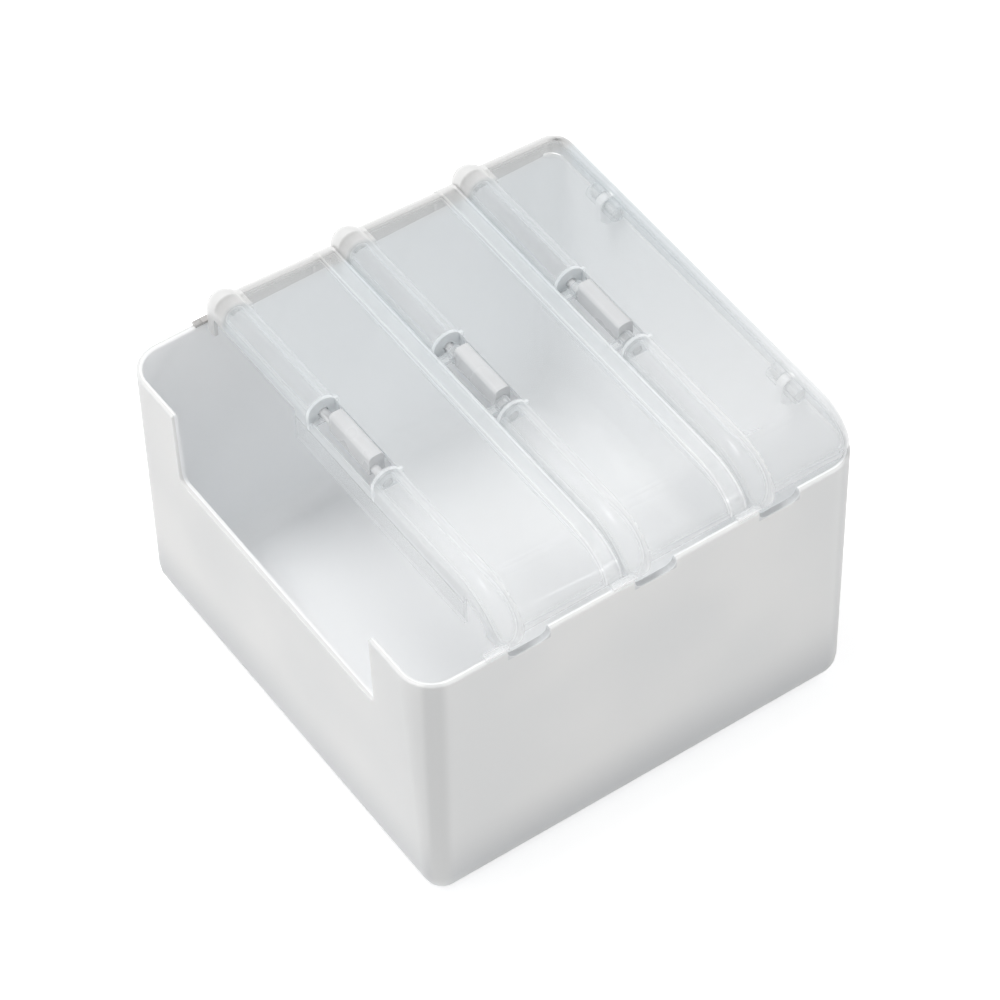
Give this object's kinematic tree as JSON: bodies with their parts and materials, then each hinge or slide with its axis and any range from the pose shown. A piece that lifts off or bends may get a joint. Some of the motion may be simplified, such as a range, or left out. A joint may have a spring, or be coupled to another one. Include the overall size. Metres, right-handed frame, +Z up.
{
  "type": "cable organizer box",
  "caption": "Open-topped plastic tub with a cable notch in its left wall and a frosted lid of hinged leaves that fold back one over the next.",
  "frame": {"origin": "middle of the underside, on the plane that the tub stands on", "axes": "+Z up; +X towards the right wall that the lid hinges on, away from the cable notch; +Y towards the rear, away from the finger scoops"},
  "size_m": [0.1642, 0.1654, 0.1221],
  "materials": {
    "tub_white": "fine satin moulded polypropylene",
    "leaf_frosted": "frosted translucent polypropylene",
    "bar_natural": "satin natural plastic",
    "pin_white": "satin plastic"
  },
  "bodies": {
    "tub": {"tub": "tub_white", "hinge_pin_front": "pin_white", "hinge_pin_rear": "pin_white"},
    "leaf_3": {"leaf_3": "leaf_frosted", "hinge_bar_3": "bar_natural"},
    "leaf_2": {"leaf_2": "leaf_frosted", "hinge_bar_2": "bar_natural"},
    "leaf_1": {"leaf_1": "leaf_frosted", "hinge_bar_1": "bar_natural"}
  },
  "joints": [
    {"name": "leaf_3_hinge", "type": "hinge", "parent": "tub", "child": "leaf_3", "pos_m": [0.07805, 0, 0.1097], "axis": [0, 1, 0], "range_deg": [0, 90]},
    {"name": "leaf_2_hinge", "type": "hinge", "parent": "leaf_3", "child": "leaf_2", "pos_m": [0.04495, 0.0033, 0.1166], "axis": [0, 1, 0], "range_deg": [0, 110]},
    {"name": "leaf_1_hinge", "type": "hinge", "parent": "leaf_2", "child": "leaf_1", "pos_m": [-0.00135, 0.0033, 0.1166], "axis": [0, 1, 0], "range_deg": [0, 110]}
  ]
}
